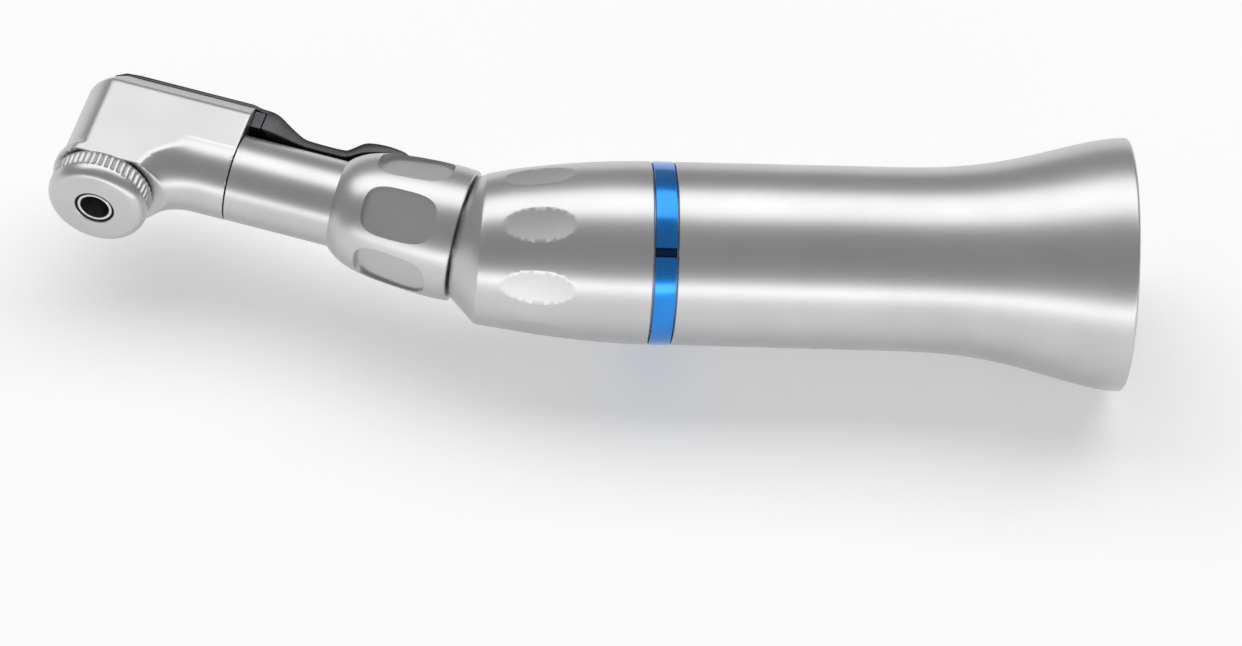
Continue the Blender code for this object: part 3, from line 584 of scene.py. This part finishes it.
def make_sleeve():
    """Grip barrel, its wedge square to the neck, and eight ground dimples."""
    seam_centre = Vector((SEAM_S * math.sin(BEND), 0, ELBOW_X - SEAM_S * math.cos(BEND)))
    seam = tilted_ring(seam_centre, BEND, SEAM_R)
    edge = barrel_ring(SLEEVE_EDGE)
    after = barrel_ring(SLEEVE_EDGE + EDGE_ROUND)
    before = [e.lerp(s, min(0.4, EDGE_ROUND / max((e - s).length, 0.01)))
              for e, s in zip(edge, seam)]
    middle = [(b + a) / 2 * 0.45 + e * 0.55 for b, a, e in zip(before, after, edge)]
    mouth = tilted_ring(seam_centre, BEND, SEAM_R - SEAM_CHAMFER)
    rings = [mouth, [s.lerp(e, 0.02) for s, e in zip(seam, edge)]]
    for t in (0.3, 0.6):
        rings.append([s.lerp(b, t) for s, b in zip(seam, before)])
    rings += [before, middle, after]
    rings += [barrel_ring(x) for x in spread(SLEEVE_EDGE + 0.4, SLEEVE_REAR - 0.08, 60)]
    rings.append(tilted_ring(Vector((0, 0, SLEEVE_REAR)), 0, SHEATH_FRONT_R - 0.07))
    rings.append(tilted_ring(Vector((0, 0, SLEEVE_REAR)), 0, SPIGOT_R))
    rings.append(tilted_ring(Vector((0, 0, SPIGOT_END)), 0, SPIGOT_R))
    piece = skin("grip_sleeve", rings, BODY_FRAME)
    cut(piece, turned_solid("case_bore", [(CASE_BORE_FRONT, CASE_BORE_R),
                                          (CASE_BORE_REAR, CASE_BORE_R)], BODY_FRAME))
    cut(piece, turned_solid("stub_bore", [(-1.5, STUB_BORE_R), (12.0, STUB_BORE_R)], NECK_FRAME))
    rise = sleeve_radius(DIMPLE_X + 0.5) - sleeve_radius(DIMPLE_X - 0.5)
    floor_r = sleeve_radius(DIMPLE_X) - DIMPLE_DEPTH
    floor = Matrix.Translation(Vector((floor_r, 0, DIMPLE_X)) * MM)
    lean = Matrix.Rotation(math.atan(rise), 4, "Y")
    for i in range(DIMPLES):
        turn = Matrix.Rotation(2 * math.pi * (i + 0.5) / DIMPLES, 4, "Z")
        cut(piece, bowl("dimple", DIMPLE_SEMI_AXES, BODY_FRAME @ turn @ floor @ lean))
    dress(piece, "handpiece", SATIN, "satin_steel", "front_grip_sleeve")


def make_colour_ring():
    """Blue band with one closing notch, coloured dark navy as painted shade of a split ring's gap."""
    def notched(z, r, turn):
        away = abs((turn - RING_SPLIT_ANGLE + math.pi) % (2 * math.pi) - math.pi)
        return min(r, NOTCH_FLOOR_R) if away < NOTCH_HALF_WIDTH / RING_R else r

    profile = soften([(RING_FRONT, RING_BORE_R), (RING_FRONT, RING_R), (RING_REAR, RING_R),
                      (RING_REAR, RING_BORE_R)], 0.1)
    piece = turned("colour_band", profile, BODY_FRAME, 720, notched)
    dress(piece, "handpiece", BLUE, "blue_anodised", "colour_ring")
    # The notch faces take the dark navy painted shade, in place of the shadow in a split ring's gap
    piece.data.materials.append(SPLIT_SHADE)
    across = Vector((0, math.cos(RING_SPLIT_ANGLE), math.sin(RING_SPLIT_ANGLE)))
    for face in piece.data.polygons:
        spot = face.center / MM
        aside = Vector((0, spot.y, spot.z)).cross(across).length
        if aside < NOTCH_HALF_WIDTH + 0.06 and spot.dot(across) > 0:
            face.material_index = 1


def make_socket():
    """Socket tube with its two grooves, and the seal in the rear one."""
    bore, groove_r = SOCKET_BORE_R, SOCKET_BORE_R + GROOVE_DEPTH
    profile = [(SOCKET_FRONT, SOCKET_FLOOR_BORE_R), (SOCKET_FRONT, SOCKET_R),
               (SOCKET_REAR, SOCKET_R), (SOCKET_REAR, bore + 0.4), (SOCKET_REAR - 0.5, bore)]
    for x, half in ((O_RING_X, 0.6), (SNAP_RING_X, 0.4)):
        profile += [(x + half, bore), (x + half, groove_r), (x - half, groove_r), (x - half, bore)]
    profile += [(SOCKET_FLOOR, bore), (SOCKET_FLOOR, SOCKET_FLOOR_BORE_R)]
    socket = turned("socket_liner", soften(profile, 0.08), BODY_FRAME)
    dress(socket, "handpiece", SATIN, "satin_steel", "socket_tube")
    seal_r = bore + O_RING_SECTION_R / 2
    seal = [(O_RING_X + O_RING_SECTION_R * math.cos(a), seal_r + O_RING_SECTION_R * math.sin(a))
            for a in spread(0, 2 * math.pi, 17)[:-1]]
    dress(turned("socket_seal", seal, BODY_FRAME), "handpiece", RUBBER, "black_rubber",
          "socket_o_ring")


def make_dog():
    """Sprung driver with the gap for the motor's fork and the slot for its cross pin."""
    chamfer, reach = 0.4, 4
    profile = [(DOG_FRONT, DOG_BORE_R), (DOG_FRONT, DOG_R), (DOG_REAR - chamfer, DOG_R),
               (DOG_REAR, DOG_R - chamfer), (DOG_REAR, DOG_BORE_R)]
    dog = turned("dog_fork", soften(profile, 0.08), BODY_FRAME, 96)
    cut(dog, box("fork_gap", (-reach, -FORK_HALF_WIDTH, FORK_FLOOR),
                 (reach, FORK_HALF_WIDTH, DOG_REAR + 1.2), BODY_FRAME))
    cut(dog, box("pin_gap", (-reach, -PIN_SLOT_HALF_WIDTH, PIN_SLOT[0]),
                 (reach, PIN_SLOT_HALF_WIDTH, PIN_SLOT[1]), BODY_FRAME))
    dress(dog, "dog", BRIGHT, "polished_steel", "drive_dog")


def make_dog_spring():
    """Coil between the shaft's collar and the dog. The real coil shortens as the dog slides in; this mesh keeps
    one length.
    """
    start, end = SPRING_SPAN
    along = Vector((0, 0, 1))
    rings = []
    for t in spread(0, 1, 60 * SPRING_TURNS + 1):
        turn = 2 * math.pi * SPRING_TURNS * t
        outward = Vector((math.cos(turn), math.sin(turn), 0))
        centre = outward * SPRING_R + along * (start + (end - start) * t)
        rings.append([centre + SPRING_WIRE_R * (outward * math.cos(a) + along * math.sin(a))
                      for a in spread(0, 2 * math.pi, 13)[:-1]])
    spring = skin("coil_spring", rings, BODY_FRAME)
    dress(spring, "drive_line", BRIGHT, "polished_steel", "dog_spring")
    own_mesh(spring)


# ---------------------------------------------------------------- neck

def nut_radius(s):
    """Bulb: widest near its rear, drawn in to the neck at the front."""
    u = (s - NUT_WIDEST) / (NUT_FRONT - NUT_WIDEST)
    if u < 0:
        rear_drop = 2.916
        return NUT_R - rear_drop * u ** 2
    slope_drop, nose_drop = 0.82, 0.98
    return NUT_R - slope_drop * u ** 1.7 - nose_drop * u ** 7


def rounded_power(value):
    return math.copysign(abs(value) ** SCALLOP_CORNER_POWER, value)


def make_nut():
    """Bulb nut with six milled flats."""
    edge, counterbore_r = 0.08, 4.15
    outer = [(NUT_REAR, nut_radius(NUT_REAR) - edge)]
    outer += [(s, nut_radius(s)) for s in spread(NUT_REAR + edge, NUT_FRONT - 0.02, 70)]
    inner = [(NUT_FRONT, NECK_R + 0.05), (NUT_COUNTERBORE_END, NECK_R + 0.05),
             (NUT_COUNTERBORE_END, counterbore_r), (NUT_REAR, counterbore_r)]
    nut = turned("lock_nut_shell", outer + inner, NECK_FRAME, FINE_STEPS)
    points, depth = 72, 3.0
    for i in range(NUT_SCALLOPS):
        rings = []
        for outward in (0.0, depth):
            ring = []
            for k in range(points):
                turn = 2 * math.pi * k / points
                along = SCALLOP_HALF_LENGTH * rounded_power(math.cos(turn))
                across = SCALLOP_HALF_WIDTH * rounded_power(math.sin(turn))
                floor = SCALLOP_FLOOR_R - SCALLOP_FLOOR_SLOPE * along
                ring.append((floor + outward, across, SCALLOP_S + along))
            rings.append(ring)
        turn = 2 * math.pi * i / NUT_SCALLOPS + NUT_REST_TURN
        place = NECK_FRAME @ Matrix.Rotation(turn, 4, "Z")
        cut(nut, skin("flat_cutter", rings, place))
    dress(nut, "nut", SATIN, "satin_steel", "lock_nut")


def make_neck():
    """Plain tube with a flange under the nut and a chamfered front."""
    tail_r, flange, flange_r = 3.5, (8.65, 9.7), 4.0
    profile = [(NECK_REAR, tail_r), (flange[0], tail_r), (flange[0], flange_r),
               (flange[1], flange_r), (flange[1], NECK_R), (NECK_FRONT, NECK_R),
               (NECK_FRONT, NECK_BORE_R + 0.25), (NECK_FRONT - 0.5, NECK_BORE_R),
               (NECK_REAR, NECK_BORE_R)]
    neck = turned("neck_sleeve", soften(profile, 0.06), NECK_FRAME)
    dress(neck, "handpiece", SATIN, "satin_steel", "neck_tube")


# ---------------------------------------------------------------- head

def head_distance(p):
    """Signed distance to the head housing, in the head frame. Height runs up to the plate."""
    x, y, z = p[..., 0], p[..., 1], p[..., 2]
    width = np.abs(y)
    height = -z
    axis_r = np.hypot(x, y)
    into_bevel = np.clip((height - CHAMFER_FROM) / (HEAD_TOP - CHAMFER_FROM), -0.3, 1.2)
    side = (width - HEAD_HALF_WIDTH + HEAD_BEVEL * into_bevel) / 1.16
    nose_r = HEAD_R - NOSE_DROP * np.clip(into_bevel, 0, None) ** 1.4
    nose = np.hypot(np.minimum(x, 0), y) - nose_r
    block = np.maximum(smooth_max(side, nose, 0.15), z)
    neck = np.maximum(np.hypot(y, z) - HEAD_HALF_WIDTH + 0.005, -FILLET_CUTOFF * x)
    barrel = np.maximum(np.maximum(axis_r - HEAD_R, z - COLLAR_END), height - 1.0)
    body = np.minimum(block, smooth_min(neck, barrel, NECK_FILLET))
    middle = 0.5 * (COLLAR_START + COLLAR_END)
    collar = np.maximum(axis_r - COLLAR_R, np.abs(z - middle) - 0.5 * (COLLAR_END - COLLAR_START))
    body = smooth_min(body, collar, 0.8)
    body = smooth_max(body, width - HEAD_HALF_WIDTH, 0.1)
    body = smooth_max(body, z - COLLAR_END, 0.08)
    body = smooth_max(body, height - HEAD_TOP, 0.1)
    body = smooth_max(body, x - HEAD_REAR, 0.08)
    bore_r = np.where(height > HEAD_SEAT_HEIGHT, HEAD_SEAT_R, HEAD_BORE_R)
    bore = np.maximum(axis_r - bore_r, height - HEAD_BORE_TOP)
    neck_bore = np.maximum(np.hypot(y, z) - HEAD_NECK_BORE_R, -x)
    return smooth_max(body, -np.minimum(bore, neck_bore), 0.05)


def make_head():
    low, high = (-5.2, -5.0, -5.8), (10.2, 5.0, 4.7)
    head = surface_net("head_shell", head_distance, low, high, HEAD_CELL, HEAD_FRAME)
    dress(head, "handpiece", SATIN, "satin_steel", "head_housing")


def make_cap():
    """Knurled cap with a rounded shoulder and a flat face."""
    steps = KNURLS * 8
    shoulder = []
    for turn in spread(0.1, math.pi / 2, 12):
        shoulder.append((CAP_KNURL_END + (CAP_END - CAP_KNURL_END) * math.sin(turn),
                         CAP_FACE_R + (CAP_R - CAP_FACE_R) * math.cos(turn)))
    profile = [(CAP_SPIGOT_START, CAP_SPIGOT_R), (CAP_START, CAP_SPIGOT_R),
               (CAP_START, CAP_R - 0.15), (CAP_START + 0.12, CAP_R - 0.02)]
    profile += [(z, CAP_R) for z in spread(CAP_START + 0.18, CAP_KNURL_END, 6)]
    profile += shoulder
    profile += [(CAP_END, CAP_HOLE_R + 0.06), (CAP_END - 0.06, CAP_HOLE_R),
                (CAP_SEAT, CAP_HOLE_R), (CAP_SEAT, CAP_SPIGOT_BORE_R),
                (CAP_SPIGOT_START, CAP_SPIGOT_BORE_R)]

    def knurled(z, r, turn):
        band = 1.0 if CAP_START + 0.1 < z <= CAP_KNURL_END and r > 3.9 else 0.0
        wave = abs(math.sin(KNURLS * turn / 2))
        return r - KNURL_DEPTH * band * (1 - wave ** 0.7)

    cap = turned("knurled_cap", profile, HEAD_FRAME, steps, knurled)
    dress(cap, "handpiece", SATIN, "satin_steel", "head_cap")


def make_bur_tube():
    """Tube that takes the bur's shank. Its rim shows in the cap's hole."""
    tube_end, tail_end = CAP_END - 0.1, TUBE_START + 1.0
    profile = [(tube_end, TUBE_BORE_R), (tube_end, TUBE_R), (TUBE_START, TUBE_R),
               (TUBE_START, TUBE_TAIL_R), (tail_end, TUBE_TAIL_R), (tail_end, TUBE_BORE_R)]
    tube = turned("spindle_tube", soften(profile, 0.05), HEAD_FRAME, 96)
    dress(tube, "chuck", BRIGHT, "polished_steel", "bur_tube")


# ---------------------------------------------------------------- latch

# Stations along the lever: distance from the elbow, half width, underside, top
LATCH_STATIONS = (
    (35.5, 1.3, PLATE_BOTTOM, 5.5), (35.1, 2.0, PLATE_BOTTOM, 5.62),
    (34.2, 2.5, PLATE_BOTTOM, PLATE_TOP), (33.0, 2.64, PLATE_BOTTOM, PLATE_TOP),
    (23.6, 2.64, PLATE_BOTTOM, PLATE_TOP), (22.95, 2.45, PLATE_BOTTOM, PLATE_TOP),
    (22.9, 2.4, 3.62, PLATE_TOP), (21.9, 2.3, 3.62, PLATE_TOP), (21.2, 2.15, 3.62, 5.52),
    (20.4, 1.9, 3.62, 5.12), (19.6, 1.7, 3.62, 4.72), (18.9, 1.55, 3.62, 4.45),
    (18.0, 1.5, 3.62, 4.36), (15.7, 1.5, 3.62, 4.36), (15.1, 1.55, 3.72, 4.6),
    (14.5, 1.65, 4.1, 5.15), (14.0, 1.7, 4.4, 5.5), (13.1, 1.75, 4.72, 5.66),
    (12.0, 1.75, 4.98, 5.68), (10.9, 1.6, 5.16, 5.62), (10.1, 1.15, 5.28, 5.48))
PLATE_STATIONS = 6


def lever_section(s, half_width, underside, top, edge=0.1):
    """Rectangle with small round corners, across the lever."""
    x = PIVOT_S - s
    edge = min(edge, 0.3 * (top - underside))
    ring = []
    for cy, cz, start in ((half_width - edge, top - edge, 0), (edge - half_width, top - edge, 1),
                          (edge - half_width, underside + edge, 2),
                          (half_width - edge, underside + edge, 3)):
        for t in spread(0, math.pi / 2, 4):
            turn = start * math.pi / 2 + t
            ring.append((x, cy + edge * math.cos(turn), -(cz + edge * math.sin(turn))))
    return ring


def make_lever():
    """Latch plate on the head's top, with its thumb lever along the neck."""
    plate = [Vector(row) for row in LATCH_STATIONS[:PLATE_STATIONS]]
    arm = smooth_line(LATCH_STATIONS[PLATE_STATIONS:], 5)
    lever = skin("latch_arm", [lever_section(*row) for row in plate + arm], LATCH_FRAME, sharp=28)
    room_r = GUIDE_R + SWING_GAP
    cut(lever, turned_solid("swing_room", [(-PLATE_BOTTOM, room_r), (0, room_r)], LATCH_FRAME))
    hole_r = SCREW_R + 0.12
    sink = [(-6.0, COUNTERSINK_R), (-PLATE_TOP, COUNTERSINK_R), (-PLATE_BOTTOM, hole_r),
            (-5.0, hole_r)]
    cut(lever, turned_solid("countersink", sink, LATCH_FRAME, 96))
    dress(lever, "latch", DARK, "dark_steel", "latch_lever")


def make_latch_screw():
    """Countersunk pivot screw with a driver slot, flush with the plate."""
    profile = [(-PLATE_TOP + 0.02, SCREW_HEAD_R - 0.05), (-PLATE_TOP + 0.06, SCREW_HEAD_R),
               (-PLATE_BOTTOM, SCREW_R), (SCREW_TIP, SCREW_R)]
    screw = turned_solid("pivot_screw", profile, LATCH_FRAME, 96)
    cut(screw, box("driver_slot", (-2, -0.13, -6), (2, 0.13, -5.5), LATCH_FRAME))
    dress(screw, "handpiece", BRIGHT, "polished_steel", "latch_screw")


def make_latch_guide():
    """Block behind the head that the lever swings round."""
    rear = PIVOT_S - (HEAD_S - HEAD_REAR) + 0.05
    guide = box("guide_block", (rear, -GUIDE_HALF_WIDTH, -GUIDE_TOP),
                (rear + GUIDE_LENGTH, GUIDE_HALF_WIDTH, -GUIDE_BOTTOM), LATCH_FRAME)
    guide_round = turned_solid("guide_round", [(-6, GUIDE_R), (0, GUIDE_R)], LATCH_FRAME)
    cut(guide, guide_round, "INTERSECT")
    dress(guide, "handpiece", DARK, "dark_steel", "latch_guide")


# ---------------------------------------------------------------- inner pieces

SLOT_MATERIALS = {"satin_steel": SATIN, "polished_steel": BRIGHT, "dark_steel": DARK,
                  "blue_anodised": BLUE, "bronze": BRONZE, "black_rubber": RUBBER}


def dress_inner_nodes():
    """The pieces that keep their CAD shape take their slot's finish."""
    for row in frame["record"]["subparts"]:
        node = frame["nodes"][row["node"]]
        node.data.materials.clear()
        node.data.materials.append(SLOT_MATERIALS[row["material_slot"]])


# ---------------------------------------------------------------- studio

def aim(thing, target):
    direction = Vector(target) - thing.location
    thing.rotation_euler = direction.to_track_quat("-Z", "Y").to_euler()


def area_light(name, location, size, size_y, power, target=VIEW_CENTRE):
    light = bpy.data.lights.new(name, "AREA")
    light.shape = "RECTANGLE"
    light.size = size
    light.size_y = size_y
    light.energy = power
    lamp = bpy.data.objects.new(name, light)
    lamp.location = location
    bpy.context.scene.collection.objects.link(lamp)
    aim(lamp, target)
    return lamp


def make_floor():
    """Pale painted floor just under the lowest point."""
    mesh = bpy.data.meshes.new("floor")
    half = 1.5
    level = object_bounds()[0][2] - 0.00002
    mesh.from_pydata([(-half, -half, level), (half, -half, level), (half, half, level),
                      (-half, half, level)], [], [(0, 1, 2, 3)])
    floor = bpy.data.objects.new("floor", mesh)
    bpy.context.scene.collection.objects.link(floor)
    material, shader = new_material("floor_paint", (0.93, 0.93, 0.93), 0.8, 0.0)
    tree = material.node_tree
    grain = noise_node(tree, 400.0)
    tree.links.new(ranged(tree, grain.outputs["Fac"], 0.75, 0.85), shader.inputs["Roughness"])
    shader.inputs["Emission Color"].default_value = (1, 1, 1, 1)
    shader.inputs["Emission Strength"].default_value = 0.26
    mesh.materials.append(material)


def make_lights():
    """A wide overhead softbox and a low one in front, with a darker band between them."""
    world = bpy.data.worlds.new("studio")
    world.use_nodes = True
    background = world.node_tree.nodes["Background"]
    background.inputs["Color"].default_value = (1, 1, 1, 1)
    background.inputs["Strength"].default_value = 0.33
    bpy.context.scene.world = world
    bpy.context.scene.view_settings.view_transform = "Standard"
    area_light("overhead_softbox", (-0.04, 0.36, 0.76), 1.7, 0.62, 5.3)
    area_light("front_softbox", (-0.04, -0.62, 0.055), 1.7, 0.13, 1.8)


def make_camera():
    back = Vector((math.sin(VIEW_AZIMUTH) * math.cos(VIEW_ELEVATION),
                   -math.cos(VIEW_AZIMUTH) * math.cos(VIEW_ELEVATION),
                   math.sin(VIEW_ELEVATION)))
    data = bpy.data.cameras.new("camera")
    data.sensor_width = SENSOR
    data.lens = SENSOR * VIEW_DISTANCE / VIEW_WIDTH
    camera = bpy.data.objects.new("camera", data)
    level = Vector((math.cos(VIEW_AZIMUTH), math.sin(VIEW_AZIMUTH), 0))
    right = (Matrix.Rotation(VIEW_ROLL, 3, back) @ level).normalized()
    up = back.cross(right)
    centre = Vector(VIEW_CENTRE) + right * VIEW_OFFSET[0] + up * VIEW_OFFSET[1]
    camera.rotation_euler = Matrix((right, up, back)).transposed().to_euler()
    camera.location = centre + back * VIEW_DISTANCE
    bpy.context.scene.collection.objects.link(camera)
    bpy.context.scene.camera = camera


dress_inner_nodes()
make_rear_sheath()
make_sleeve()
make_colour_ring()
make_socket()
make_dog()
make_dog_spring()
make_nut()
make_neck()
make_head()
make_cap()
make_bur_tube()
make_lever()
make_latch_screw()
make_latch_guide()
make_floor()
make_lights()
make_camera()
